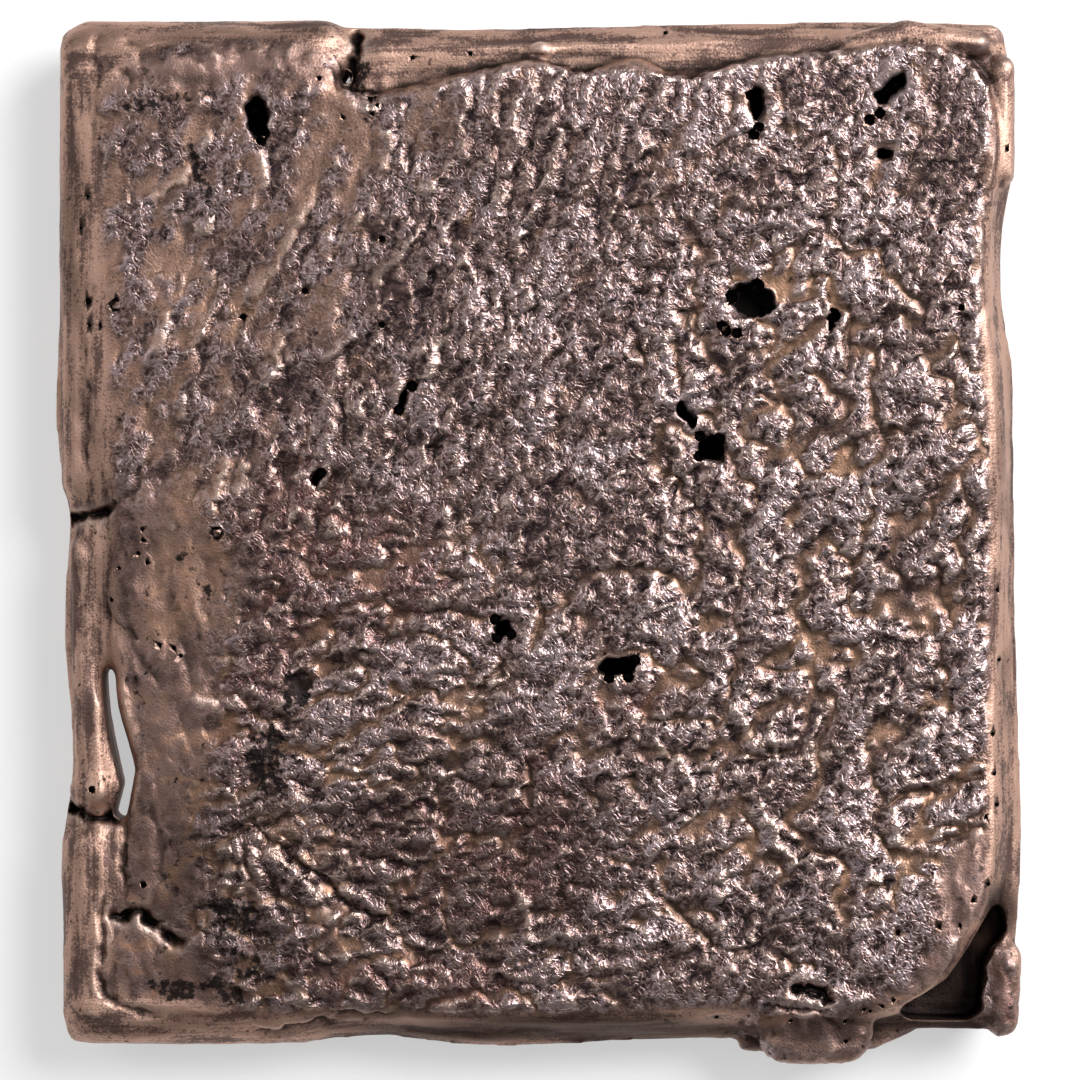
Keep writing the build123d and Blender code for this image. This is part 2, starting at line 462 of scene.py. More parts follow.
def draw_guides(name, lines, closed=False):
    """A curve object with one spline for each line of pixels."""
    curve = bpy.data.curves.new(name, "CURVE")
    curve.dimensions = "3D"
    for line in lines:
        spline = curve.splines.new("NURBS")
        spline.points.add(len(line) - 1)
        for point, pixel in zip(spline.points, line):
            point.co = (*place(pixel), 0.0, 1.0)
        spline.order_u = 3
        spline.use_endpoint_u = not closed
        spline.use_cyclic_u = closed
    guide = bpy.data.objects.new(name, curve)
    bpy.context.scene.collection.objects.link(guide)
    return guide


def guide_curve(graph, guide):
    """The curve of a guide, for a tree to measure."""
    info = graph.add("GeometryNodeObjectInfo", guide, transform_space="ORIGINAL")
    return info.node.outputs["Geometry"]


step_guide = draw_guides("step_lines", step_lines)
channel_guide = draw_guides("channel_lines", channel_lines)
crack_guide = draw_guides("crack_lines", crack_lines)
crease_guide = draw_guides("crease_lines", crease_lines)
gouge_guide = draw_guides("gouge_lines", gouge_lines)
print("channels:", len(channel_lines), "gouges:", len(gouge_lines))
print("cracks:", len(crack_lines), "creases:", len(crease_lines))

# %% [markdown]
# The crust has an edge all round, drawn here as one closed line of pixels. What lies inside it gets
# the crust's wrinkles, and what lies outside, the rims and strips that froze against the mould,
# only gets soft dents.

# %% Outline of the crust
crust_edge = [
    (120, 70), (160, 46), (240, 36), (310, 46), (345, 68), (352, 97), (420, 96), (475, 72), (550, 64),
    (590, 72), (650, 70), (690, 78), (760, 62), (810, 52), (850, 52), (905, 42), (955, 50), (985, 72),
    (994, 110), (992, 200), (985, 330), (996, 400), (998, 520), (1000, 640), (994, 760), (996, 820),
    (991, 905), (967, 940), (962, 962), (946, 980), (925, 997), (902, 1012), (869, 1014), (860, 1040),
    (820, 1052), (765, 1040), (752, 1016), (690, 1016), (560, 1024), (430, 1022), (330, 1020), (270, 1022),
    (200, 1010), (120, 1000), (100, 970), (112, 930), (112, 880), (122, 820), (138, 770), (120, 700),
    (116, 668), (106, 600), (108, 520), (104, 440), (98, 330), (92, 200), (96, 110),
]
edge_guide = draw_guides("crust_edge", [crust_edge], closed=True)
straight_down = (0.0, 0.0, -1.0)


def inside_crust(graph, position):
    """How far inside the crust's edge a place lies, in metres, and below 0 outside it."""
    line = guide_curve(graph, edge_guide)
    x, y = graph.split(position)[:2]
    flat = graph.add("ShaderNodeCombineXYZ", x, y, 0.0)
    wire = graph.add("GeometryNodeCurveToMesh", line)
    reach = graph.add("GeometryNodeProximity", target_element="EDGES", Geometry=wire, Sample_Position=flat)
    sheet = graph.add("GeometryNodeFillCurve", line, mode="TRIANGLES")
    above = graph.add("ShaderNodeCombineXYZ", x, y, 1.0)
    hit = graph.add(
        "GeometryNodeRaycast", sheet, Source_Position=above, Ray_Direction=straight_down, Ray_Length=2.0,
    )
    side = graph.less(graph.times(hit.node.outputs["Is Hit"], 2.0), 1.0)
    return graph.times(reach.node.outputs["Distance"], side)


print("crust edge points:", len(crust_edge))

# %% [markdown]
# Five geometry trees follow, each laid, applied and done with: the first stores what kind of ground
# each point lies on, the second melts the joins of the beads, the third lays the relief, the fourth
# measures which points stand proud, and the fifth mixes the shares of the colours from all of that.

# %% Helpers for the geometry trees


def geometry_tree(name):
    """A new geometry tree, and the mesh that comes into it."""
    tree = bpy.data.node_groups.new(name, "GeometryNodeTree")
    tree.interface.new_socket("Geometry", in_out="INPUT", socket_type="NodeSocketGeometry")
    tree.interface.new_socket("Geometry", in_out="OUTPUT", socket_type="NodeSocketGeometry")
    return Graph(tree), tree.nodes.new("NodeGroupInput").outputs[0]


def run_tree(graph, mesh):
    """Hands a mesh to the tree's way out and applies the tree to the ingot."""
    way_out = graph.tree.nodes.new("NodeGroupOutput")
    graph.feed(way_out.inputs[0], mesh)
    finish_modifier(ingot, "NODES", graph.tree.name, node_group=graph.tree)


def keep_values(graph, mesh, **values):
    """Stores named values on the points of a mesh."""
    for name, value in values.items():
        mesh = graph.add(
            "GeometryNodeStoreNamedAttribute", data_type="FLOAT", domain="POINT", Geometry=mesh, Name=name,
            Value=value,
        )
    return mesh


def kept_values(graph, *names):
    """The values that an earlier tree stored."""
    return [graph.add("GeometryNodeInputNamedAttribute", data_type="FLOAT", Name=name) for name in names]


print("tree helpers ready")

# %% [markdown]
# The first tree writes the masks onto the points before any of them moves, so that later steps find
# them however far the metal is pushed. A slow noise sways the ovals, and no border looks drawn. The
# value skin is 1 all over, and what a later cut lays bare has none, so it can be coloured black as
# painted shade inside the cut holes.

# %% Store the kinds of ground
g, mesh = geometry_tree("kinds of ground")
here = g.add("GeometryNodeInputPosition")
height = g.split(here)[2]
facing = g.split(g.add("GeometryNodeInputNormal"))[2]
across, down = pixel_sockets(g, here)
inside = inside_crust(g, here)
sway_pixels = 90.0
sway = g.times(g.noise(here, 9 * mm), sway_pixels)
swayed = (g.sum(across, sway), g.less(down, sway))

by_edge = g.times(g.ease(inside, -3.4 * mm, -2.0 * mm), g.ease(inside, 3.2 * mm, 2.0 * mm))
melted = g.times(ovals(g, across, down, melted_ground), by_edge, g.ease(facing, -0.1, 0.3))
below_crust = g.times(g.ease(height, 9.6 * mm, 8.6 * mm), g.ease(height, 3.0 * mm, 4.0 * mm))
pit = g.times(below_crust, g.ease(inside, 0.6 * mm, 1.2 * mm), g.rest(melted))
low_corner = g.times(oval(g, across, down, *unfilled_corner), g.ease(height, 7.4 * mm, 6.4 * mm))
on_crust = g.ease(g.sum(inside, g.times(g.ease(down, 160, 110), 1.0 * mm)), -0.2 * mm, 1.4 * mm)
by_far_edge = g.ease(g.math("ABSOLUTE", g.split(here)[1]), 46.0 * mm, 49.0 * mm)
long_way = (10.0 * mm, 1.4 * mm, 1.4 * mm)
side_streak = g.noise(g.stretched(here, 90.0, long_way), 1.0)
far_streak = g.noise(g.stretched(here, 0.0, long_way), 1.0)
late_crust = g.times(ovals(g, across, down, late_metal), g.ease(height, 5.0 * mm, 6.0 * mm))
mesh = keep_values(
    g, mesh,
    crust=g.most(on_crust, late_crust),
    skin=1.0,
    smooth=ovals(g, *swayed, smooth_ground),
    melted=melted,
    soot=ovals(g, across, down, soot_and_shade_ground),
    ruddy=ovals(g, *swayed, ruddy_ground),
    coppery=ovals(g, *swayed, coppery_ground),
    dark=ovals(g, across, down, painted_shade_ground),
    dim=ovals(g, *swayed, dim_and_shaded_ground),
    mottle=g.noise(here, 7.0 * mm, 3.0, 0.6),
    blotch=g.noise(here, 2.6 * mm, 4.0, 0.65),
    wide_streak=g.blend(by_far_edge, side_streak, far_streak),
    by_far_edge=by_far_edge,
    fan=oval(g, *swayed, *fan_ground),
    far_left=g.ease(g.sum(swayed[0], g.times(swayed[1], 0.55)), 620, 420),
    far_half=g.ease(swayed[1], 640, 430),
    lumpy=oval(g, *swayed, *lumpy_ground),
    pit=pit,
    low_corner=g.times(low_corner, g.ease(height, 0.2 * mm, 0.6 * mm)),
)
run_tree(g, mesh)
print("stored:", [item.name for item in ingot.data.attributes if item.domain == "POINT"])

# %% [markdown]
# Where the crust meets the rims and strips, the exact slab has sharp joins. The second tree blurs the
# places of the points along them, many rounds over, and leaves all others where they are.

# %% Melt the joins
g, mesh = geometry_tree("melted joins")
melted = kept_values(g, "melted")[0]
here = g.add("GeometryNodeInputPosition")
softened = g.add("GeometryNodeBlurAttribute", here, data_type="FLOAT_VECTOR", Iterations=70, Weight=melted)
run_tree(g, g.add("GeometryNodeSetPosition", mesh, Position=softened))
print("joins melted")

# %% [markdown]
# The wrinkles are noises whose long way is turned, and whose flanks lean. Their size, slant and
# height follow the kind of ground: thin leaning steps at the far left, round lumps at the right, a
# fan of folds at the near left, small pillows between.

# %% Helpers for the relief
wave_gain = 4.0


def guide_profile(graph, position, guide, before_width, behind_width, sharpness=1.0):
    """1 on a guide line, falling to 0 over one width on its left, another on its right, and its ends."""
    lines = guide_curve(graph, guide)
    lines = keep_values(graph, lines, along=graph.add("GeometryNodeSplineParameter"))
    dots = graph.add("GeometryNodeCurveToPoints", lines, mode="LENGTH", Length=0.15 * mm).node
    nearest = graph.add("GeometryNodeSampleNearest", dots.outputs["Points"], domain="POINT")
    along = kept_values(graph, "along")[0]
    from_end = graph.times(along, graph.rest(along), 4.0)
    samples = []
    for value in (
        graph.add("GeometryNodeInputPosition"), dots.outputs["Tangent"],
        graph.add("ShaderNodeCombineXYZ", graph.ease(from_end, 0.0, 0.5), 0.0, 0.0),
    ):
        sample = graph.add(
            "GeometryNodeSampleIndex", data_type="FLOAT_VECTOR", domain="POINT",
            Geometry=dots.outputs["Points"], Value=value, Index=nearest,
        )
        samples.append(sample)
    gap = graph.vector("MULTIPLY", graph.vector("SUBTRACT", position, samples[0]), (1.0, 1.0, 0.0))
    reach = graph.vector("LENGTH", gap).node.outputs["Value"]
    cross = graph.vector("CROSS_PRODUCT", samples[1], gap)
    side = graph.ease(graph.split(cross)[2], -0.1 * mm, 0.1 * mm)
    profile = graph.blend(side, graph.ease(reach, behind_width, 0.0), graph.ease(reach, before_width, 0.0))
    return graph.times(graph.math("POWER", profile, sharpness), graph.split(samples[2])[0])


def leaning_wave(graph, position, turn_degrees, sizes, push, detail=1.5):
    """A wrinkle noise, about -1 to 1, whose long way is turned and whose flanks lean."""
    length, width = sizes
    squeezed = graph.stretched(position, turn_degrees, (length, width, width))
    shift = graph.times(graph.noise(squeezed, 1.0, 1.0), push)
    moved = graph.vector("ADD", squeezed, graph.add("ShaderNodeCombineXYZ", 0.0, shift, 0.0))
    return graph.times(graph.noise(moved, 1.0, detail, 0.55), wave_gain)


def pillows_of(graph, position, turn_degrees, sizes, push, valley_round=0.07):
    """Round lumps up to about 1 high, with narrow rounded valleys between them at 0."""
    wave = leaning_wave(graph, position, turn_degrees, sizes, push)
    rounded = graph.math("SQRT", graph.sum(graph.times(wave, wave), valley_round ** 2))
    return graph.less(rounded, valley_round)


def ridges_of(graph, position, turn_degrees, sizes, push):
    """Sharp winding crests up to 1 high, with rounded hollows between them at about 0."""
    return graph.rest(graph.math("ABSOLUTE", leaning_wave(graph, position, turn_degrees, sizes, push)))


print("relief helpers ready")

# %% [markdown]
# The third tree adds it all up: wrinkles, ridges and crumples on the crust, soft dents on the rims,
# and the drawn lines, which rise or sink. Points are pushed along their normals, shaken a little
# sideways so that no fold runs straight, and kept inside the exact slab's box.

# %% Lay the relief
swell_height = 0.8 * mm
wrinkle_height = 0.38 * mm
far_wrinkle_height = 0.17 * mm
least_ridge_height = 0.07 * mm
ridge_height = 0.46 * mm
far_ridge_height = 0.26 * mm
crumple_height = 0.18 * mm
far_crumple_height = 0.12 * mm
step_height = 0.32 * mm
smooth_wave_height = 0.7 * mm
smooth_flow_height = 0.7 * mm
channel_depth = 0.30 * mm
crust_sink = 0.2 * mm
rim_wave_height = 0.7 * mm
rim_streak_height = 0.55 * mm
rim_sink = 0.1 * mm
nub_height = 0.9 * mm
crack_depth = 0.55 * mm
crease_depth = 0.28 * mm
gouge_depth = 1.7 * mm
wall_dent_depth = 0.35 * mm
shake_reach = 1.5 * mm
box_gap = 0.01 * mm
fan_middle = (222.0, 790.0)
fan_fold_pixels = 95
fan_fold_radians = 0.17

g, mesh = geometry_tree("relief")
here = g.add("GeometryNodeInputPosition")
normal = g.add("GeometryNodeInputNormal")
height = g.split(here)[2]
across, down = pixel_sockets(g, here)
upward = g.ease(g.split(normal)[2], 0.25, 0.75)
crust, smooth, fan, far_left, far_half, lumpy, pit, wide_streak = kept_values(
    g, "crust", "smooth", "fan", "far_left", "far_half", "lumpy", "pit", "wide_streak",
)

leaning = leaning_wave(g, here, turn_degrees=66.0, sizes=(5.6 * mm, 2.3 * mm), push=1.0)
patches = leaning_wave(g, here, turn_degrees=60.0, sizes=(4.4 * mm, 2.4 * mm), push=1.0)
level = pillows_of(g, here, turn_degrees=12.0, sizes=(7.0 * mm, 4.6 * mm), push=0.8)
round_lumps = pillows_of(g, here, turn_degrees=48.0, sizes=(9.0 * mm, 6.6 * mm), push=0.8)
far_ridges = ridges_of(g, here, turn_degrees=70.0, sizes=(4.4 * mm, 2.1 * mm), push=0.7)
near_ridges = ridges_of(g, here, turn_degrees=8.0, sizes=(4.2 * mm, 2.2 * mm), push=0.7)
right_ridges = ridges_of(g, here, turn_degrees=40.0, sizes=(2.8 * mm, 2.0 * mm), push=0.7)
small = g.blend(lumpy, g.blend(far_half, near_ridges, far_ridges), right_ridges)
crumple = g.rest(g.math("ABSOLUTE", g.times(g.noise(here, 1.2 * mm, 1.0, 0.5, 0.6), wave_gain)))

fan_across = g.less(across, fan_middle[0])
fan_down = g.less(down, fan_middle[1])
fan_angle = g.math("ARCTAN2", fan_down, fan_across)
fan_reach = g.math("SQRT", g.sum(g.times(fan_across, fan_across), g.times(fan_down, fan_down)))
fan_along = g.times(fan_reach, 1 / fan_fold_pixels)
fan_round = g.times(fan_angle, 1 / fan_fold_radians)
fan_place = g.add("ShaderNodeCombineXYZ", fan_along, fan_round, 0.0)
fanned = g.times(g.noise(fan_place, 1.0), wave_gain, g.ease(fan_reach, 10.0, 110.0))

pillows = g.blend(lumpy, level, round_lumps)
leaning_share = g.times(far_half, g.rest(lumpy))
wrinkle = g.blend(leaning_share, g.times(g.less(pillows, 0.35), 1.5), leaning)
wrinkle = g.blend(fan, wrinkle, fanned)
bend = g.vector("SCALE", g.wander(here, 2.5 * mm, 2.0), Scale=2.2 * mm)
bent = g.vector("ADD", here, bend)
steps = guide_profile(g, bent, step_guide, before_width=0.5 * mm, behind_width=2.2 * mm, sharpness=1.8)
channel_width = g.times(g.sum(g.noise(here, 2.0 * mm), 0.5), 1.4 * mm)
channels = guide_profile(g, bent, channel_guide, channel_width, channel_width)
cracks = guide_profile(g, bent, crack_guide, before_width=0.5 * mm, behind_width=0.9 * mm)
creases = guide_profile(g, bent, crease_guide, before_width=0.6 * mm, behind_width=1.6 * mm)
gouges = guide_profile(g, bent, gouge_guide, before_width=0.8 * mm, behind_width=0.8 * mm)

valleys = g.times(g.ease(pillows, 0.07, 0.0), g.rest(leaning_share))
plateau = g.blend(far_left, valleys, g.ease(g.sum(patches, g.times(steps, 0.7)), -0.2, 0.5))
bare = g.most(plateau, smooth, g.ease(channels, 0.25, 1.0))
rough = g.times(g.rest(bare), crust, g.rest(pit))
seams = g.most(valleys, g.ease(channels, 0.3, 1.0), g.times(g.ease(leaning, -0.4, -1.0), leaning_share))
ground = g.rest(g.times(smooth, 0.8))
flow = g.noise(g.stretched(here, 105.0, (9.0 * mm, 1.9 * mm, 1.9 * mm)), 1.0)
wrinkle_rise = g.blend(far_left, wrinkle_height, far_wrinkle_height)
ridge_rise = g.times(rough, g.blend(far_left, ridge_height, far_ridge_height))
crumple_rise = g.blend(far_left, crumple_height, far_crumple_height)
smooth_wave = g.times(g.noise(here, 5 * mm), smooth_wave_height)
crust_rise = g.sum(
    g.times(g.noise(here, 12 * mm, 1.0), swell_height),
    g.times(wrinkle, wrinkle_rise, ground),
    g.times(g.less(small, 0.5), g.sum(least_ridge_height, ridge_rise)),
    g.times(crumple, rough, crumple_rise),
    g.times(steps, step_height),
    g.times(smooth, g.sum(smooth_wave, g.times(flow, smooth_flow_height))),
    g.times(channels, -channel_depth),
    -crust_sink,
)
rim_rise = g.sum(
    g.times(g.noise(here, 6 * mm), rim_wave_height),
    g.times(wide_streak, rim_streak_height),
    g.times(oval(g, across, down, *nub, border=0.6), nub_height),
    -rim_sink,
)
rise = g.sum(
    g.blend(crust, rim_rise, crust_rise), g.times(cracks, -crack_depth), g.times(creases, -crease_depth),
)
rise = g.times(rise, upward)
side_dents = g.times(g.sum(g.noise(here, 4 * mm, 3.0), -0.12), wall_dent_depth, g.rest(upward))
over_floor = g.ease(height, 0.3 * mm, 1.5 * mm)
push = g.vector("SCALE", normal, Scale=g.times(g.sum(rise, side_dents), over_floor))
sink = g.add("ShaderNodeCombineXYZ", 0.0, 0.0, g.times(gouges, upward, -gouge_depth))
shake = [
    g.times(g.noise(g.vector("ADD", here, (aside, 7.3, 1.9)), 1.3 * mm), shake_reach, crust, g.rest(pit))
    for aside in (0.0, 1.0)
]
offset = g.vector("ADD", g.vector("ADD", push, sink), g.add("ShaderNodeCombineXYZ", *shake, 0.0))

mesh = keep_values(
    g, mesh, rough=rough, seam=g.times(seams, crust, g.rest(far_left)), gouge=g.times(gouges, upward),
    step=g.times(g.ease(steps, 0.66, 0.95), crust),
)
mesh = g.add("GeometryNodeSetPosition", mesh, Offset=offset)
lowest = (cad_low[0] + box_gap, cad_low[1] + box_gap, cad_low[2])
highest = [value - box_gap for value in cad_high]
boxed = g.vector("MINIMUM", g.vector("MAXIMUM", g.add("GeometryNodeInputPosition"), lowest), highest)
run_tree(g, g.add("GeometryNodeSetPosition", mesh, Position=boxed))
print("relief laid on", len(ingot.data.vertices), "points")

# %% [markdown]
# Crests get a painted highlight and hollows painted shade. The fourth tree compares each point with
# the mean of its neighbours, once close by and once over a wider round, and finds what lies beside a pit.

# %% Measure what stands proud
g, mesh = geometry_tree("proud points")
pit = kept_values(g, "pit")[0]
here = g.add("GeometryNodeInputPosition")
normal = g.add("GeometryNodeInputNormal")


def proud(rounds, gain):
    """How far a point stands above the mean of its neighbours, about 1 on a plain crest."""
    around = g.add("GeometryNodeBlurAttribute", here, data_type="FLOAT_VECTOR", Iterations=rounds)
    above = g.vector("DOT_PRODUCT", g.vector("SUBTRACT", here, around), normal).node.outputs["Value"]
    return g.times(above, gain / mm)


around_pit = g.add("GeometryNodeBlurAttribute", pit, data_type="FLOAT", Iterations=24)
mesh = keep_values(
    g, mesh, crest=proud(rounds=7, gain=10), lump=proud(rounds=60, gain=3),
    near_pit=g.ease(around_pit, 0.02, 0.2),
)
run_tree(g, mesh)
print("proud points measured")

# %% [markdown]
# How much of each colour shows at a point hangs on many of the stored values at once. Working that
# out once for each point, and not at each ray, keeps the material small and quick to render.

# %% Mix the shares of the colours
seam_copper_share = 0.75
patch_copper_share = 0.6
patch_red_share = 0.55
hollow_black_share = 0.5
groove_black_share = 0.6
crest_highlight_share = 0.7
step_highlight_share = 0.5
dim_and_shaded_share = 0.5
dim_wall_share = 0.3
most_shade_share = 0.85
low_corner_share = 0.85
soot_and_shade_share = 0.85
plain_dullness = 0.39

g, mesh = geometry_tree("shares of the colours")
crust, smooth, soot, rough, seam, step, gouge, pit, low_corner = kept_values(
    g, "crust", "smooth", "soot", "rough", "seam", "step", "gouge", "pit", "low_corner",
)
coppery, ruddy, dark, dim, far_left, mottle, blotch, wide_streak = kept_values(
    g, "coppery", "ruddy", "dark", "dim", "far_left", "mottle", "blotch", "wide_streak",
)
crest, lump, near_pit = kept_values(g, "crest", "lump", "near_pit")
height = g.split(g.add("GeometryNodeInputPosition"))[2]
patchy = g.sum(mottle, blotch)
crest = g.times(crest, g.rest(near_pit))
on_wall = g.ease(height, 6.5 * mm, 4.5 * mm)
# The dimmed ovals, partly darker metal and partly painted shade, and the walls' darker oxide.
dimness_and_shade = g.most(g.times(dim, dim_and_shaded_share), g.times(on_wall, dim_wall_share))
dimness_and_shade = g.times(dimness_and_shade, g.ease(patchy, -0.35, 0.05))


def either(first, second):
    """The share that shows where one colour is laid on twice."""
    return g.rest(g.times(g.rest(first), g.rest(second)))


mesh = keep_values(
    g, mesh,
    copper_share=either(
        g.times(seam, g.ease(patchy, -0.2, 0.2), seam_copper_share),
        g.times(coppery, g.ease(blotch, -0.15, 0.15), patch_copper_share),
    ),
    red_share=g.times(ruddy, g.ease(blotch, -0.12, 0.1), patch_red_share),
    # Painted shade: black in the hollows between lumps and in the grooves between crests.
    low_share=either(
        g.times(g.ease(lump, -0.1, -1.4), hollow_black_share),
        g.times(g.ease(crest, 0.0, -1.4), groove_black_share),
    ),
    # Painted highlight: a pale colour on the crests and on the steps' sharp flanks, where light would
    # catch.
    high_share=either(
        g.times(g.ease(crest, 0.4, 2.0), crest_highlight_share), g.times(step, step_highlight_share),
    ),
    # Painted shade: the near edge, the corner and the dimmed ground are laid on with the shade colour.
    shade_share=g.times(g.most(dark, dimness_and_shade), most_shade_share),
    # Painted shade: black in the pits, deep cavities, gouges and the unfilled corner.
    deep_share=g.most(
        pit, g.ease(lump, -1.2, -2.6), g.ease(gouge, 0.2, 0.9), g.times(low_corner, low_corner_share),
    ),
    rough_base=g.sum(rough, g.times(blotch, 1.5)),
    # Partly painted highlight: proud lumps are paler; the mottle is the oxide's own tone.
    pale_base=g.sum(g.times(lump, 0.32), g.times(mottle, 0.8)),
    wear_base=g.sum(g.times(patchy, 0.5), g.times(wide_streak, g.most(g.rest(crust), smooth), 1.3)),
    soot_base=g.sum(g.times(soot, soot_and_shade_share), g.times(blotch, 2.6)),
    dullness=g.sum(plain_dullness, g.times(blotch, 0.25), g.times(soot, 0.2), g.times(near_pit, 0.3)),
    clump=g.sum(0.9, g.times(mottle, 1.3), g.times(blotch, 1.8)),
    thread_gain=g.times(g.sum(0.1, g.times(rough, g.blend(far_left, 0.65, 0.4))), g.rest(near_pit)),
)
run_tree(g, mesh)
print("shares mixed")

# %% [markdown]
# So many faces are needed only where the crust is crumpled. The decimate modifier takes most of
# them from the flat underside and the walls, where they show nothing.

# %% Thin the mesh
most_triangles = 192000
ingot.data.calc_loop_triangles()
finish_modifier(ingot, "DECIMATE", "thin", ratio=most_triangles / len(ingot.data.loop_triangles))
for guide in (step_guide, channel_guide, crack_guide, crease_guide, gouge_guide, edge_guide):
    bpy.data.objects.remove(guide)
pick(ingot)
bpy.ops.object.shade_smooth()
ingot.data.calc_loop_triangles()
print("triangles:", len(ingot.data.loop_triangles))

# %% [markdown]
# Gas also left pinholes, far smaller than the pits: a row along the right edge, a few on the smooth
# metal at the left and on the rims. A hole half a millimetre wide would need too fine a mesh to push
# in, so each is a small tapered plug that a Boolean modifier cuts out. A ray from above finds the
# height at which its mouth lies. Wider plugs bite the edges of the pits ragged. Two bubbles only left
# a ring mark, which a small torus cuts.

# %% Cut the pinholes
wide_pinholes = [
    (382, 239), (305, 291), (243, 317), (382, 325), (88, 301), (91, 790), (143, 885), (961, 308),
]
fine_pinholes = [
    (864, 1009), (870, 1011), (882, 1006), (893, 1000), (898, 933), (939, 926), (791, 1021), (845, 1022),
    (846, 1042), (717, 1018), (973, 900), (960, 925), (988, 884), (986, 817), (997, 805), (995, 774),
    (993, 734), (1000, 660), (998, 590), (142, 529), (143, 540), (138, 553), (147, 563), (119, 568),
    (111, 600), (160, 645), (174, 648), (181, 656), (666, 30), (412, 56), (470, 52), (87, 196), (80, 227),
    (100, 325), (89, 325), (319, 78), (343, 117), (372, 114), (377, 105), (1008, 148), (940, 232),
]
ragged_edges = [
    (757, 286), (769, 309), (733, 297), (726, 331), (722, 326), (737, 333), (699, 456), (719, 439),
    (700, 436), (495, 620), (511, 634), (497, 638), (601, 666), (635, 660), (609, 678), (628, 677),
    (893, 83), (899, 80), (880, 113), (870, 119), (751, 95), (759, 127), (754, 134), (251, 105),
    (265, 133), (261, 140), (412, 386), (399, 410), (321, 473), (833, 315), (678, 405), (692, 425),
]
ring_marks = [(217, 533), (115, 305)]
lowest_mouth = 6.0 * mm
foot_share = 0.5
mouth_share = 1.25


def on_top(obj, pixel):
    """The place on the top that shows at a pixel."""
    x, y = place(pixel)
    point = obj.ray_cast((x, y, 1.0), straight_down)[1]
    return x, y, point.z


plugs = []
kinds_of_plug = [
    (0.62 * mm, 3.2 * mm, ragged_edges),
    (0.36 * mm, 2.4 * mm, wide_pinholes),
    (0.21 * mm, 1.4 * mm, fine_pinholes),
]
for radius, depth, pixels in kinds_of_plug:
    for pixel in pixels:
        bpy.ops.object.select_all(action="DESELECT")
        x, y, top = on_top(ingot, pixel)
        bpy.ops.mesh.primitive_cone_add(
            vertices=9, radius1=radius * foot_share, radius2=radius * mouth_share, depth=2 * depth,
            location=(x, y, max(top, lowest_mouth)),
        )
        plugs.append(bpy.context.view_layer.objects.active)
for pixel in ring_marks:
    bpy.ops.object.select_all(action="DESELECT")
    bpy.ops.mesh.primitive_torus_add(
        major_radius=0.55 * mm, minor_radius=0.11 * mm, major_segments=20, minor_segments=8,
        location=on_top(ingot, pixel),
    )
    plugs.append(bpy.context.view_layer.objects.active)
bpy.ops.object.select_all(action="DESELECT")
for plug in plugs:
    plug.select_set(True)
bpy.context.view_layer.objects.active = plugs[0]
bpy.ops.object.join()
all_plugs = bpy.context.view_layer.objects.active
finish_modifier(ingot, "BOOLEAN", "pinholes", operation="DIFFERENCE", object=all_plugs, solver="MANIFOLD")
bpy.data.objects.remove(all_plugs)
ingot.data.calc_loop_triangles()
print("pinholes and rings:", len(plugs), "triangles:", len(ingot.data.loop_triangles))

# %% [markdown]
# The skin is one material. Its colours follow the values stored on the mesh: dark oxide on the
# crumpled ground, browner metal on the smooth ground, bare copper in the seams, soot where gas came
# out. Painted highlight lies on the crests, the steps and the pale threads, and painted shade in the
# hollows, pits, gouges and the unfilled corner, round the pits, along the near edge and beside the
# curled lip. Threads too thin for the mesh are drawn by a noise that is folded at its middle.

# %% Oxidised copper
copper = bpy.data.materials.new("oxidised_copper")
copper.use_nodes = True
s = Graph(copper.node_tree)
skin = copper.node_tree.nodes["Principled BSDF"]
spot = s.add("ShaderNodeTexCoord").node.outputs["Object"]


def stored(name):
    """One of the values that the trees stored on the mesh."""
    return s.add("ShaderNodeAttribute", attribute_name=name, attribute_type="GEOMETRY").node.outputs["Fac"]


def tinted(share, first, second):
    """One colour where share is 0 and another where it is 1."""
    node = s.add("ShaderNodeMix", data_type="RGBA").node
    s.feed(next(socket for socket in node.inputs if socket.enabled and socket.name == "Factor"), share)
    for socket, value in zip([socket for socket in node.inputs if socket.type == "RGBA"], (first, second)):
        s.feed(socket, value)
    return next(socket for socket in node.outputs if socket.type == "RGBA")


twist = s.wander(spot, 0.9 * mm, 0.0)
thread_sharpness = 6.0


def threads(size, bend):
    """Thin winding ridges about one size apart, from 0 between them to 1 on them."""
    wave = s.noise(s.vector("ADD", spot, s.vector("SCALE", twist, Scale=bend)), size, 0.0)
    return s.most(s.rest(s.math("ABSOLUTE", s.times(wave, thread_sharpness))), 0.0)


oxide = (0.066, 0.043, 0.048, 1.0)
warm = (0.19, 0.120, 0.102, 1.0)
grey = (0.35, 0.262, 0.272, 1.0)
pale_grey = (0.42, 0.325, 0.340, 1.0)
brown = (0.37, 0.222, 0.162, 1.0)
dull_brown = (0.25, 0.158, 0.133, 1.0)
dark_brown = (0.151, 0.093, 0.080, 1.0)
rosy = (0.50, 0.315, 0.245, 1.0)
bare_copper = (0.44, 0.25, 0.155, 1.0)
# The colour of the painted highlight on crests and steps.
painted_highlight = (0.54, 0.40, 0.34, 1.0)
black = (0.014, 0.011, 0.011, 1.0)
red = (0.15, 0.06, 0.05, 1.0)
shade = (0.035, 0.020, 0.017, 1.0)

fleck = s.noise(spot, 0.8 * mm, 2.0, 0.7)
grain = s.noise(spot, 0.22 * mm, 0.0)
crust_share = stored("crust")
rim_share = s.rest(crust_share)
rough_share = s.times(s.ease(s.sum(stored("rough_base"), s.times(fleck, 1.5)), -0.2, 1.1), crust_share)
wide_threads = s.times(threads(0.9 * mm, 1.0 * mm), 0.6)
thin_threads = s.times(threads(0.45 * mm, 0.5 * mm), 0.55)
all_threads = s.times(s.sum(wide_threads, thin_threads), stored("clump"))

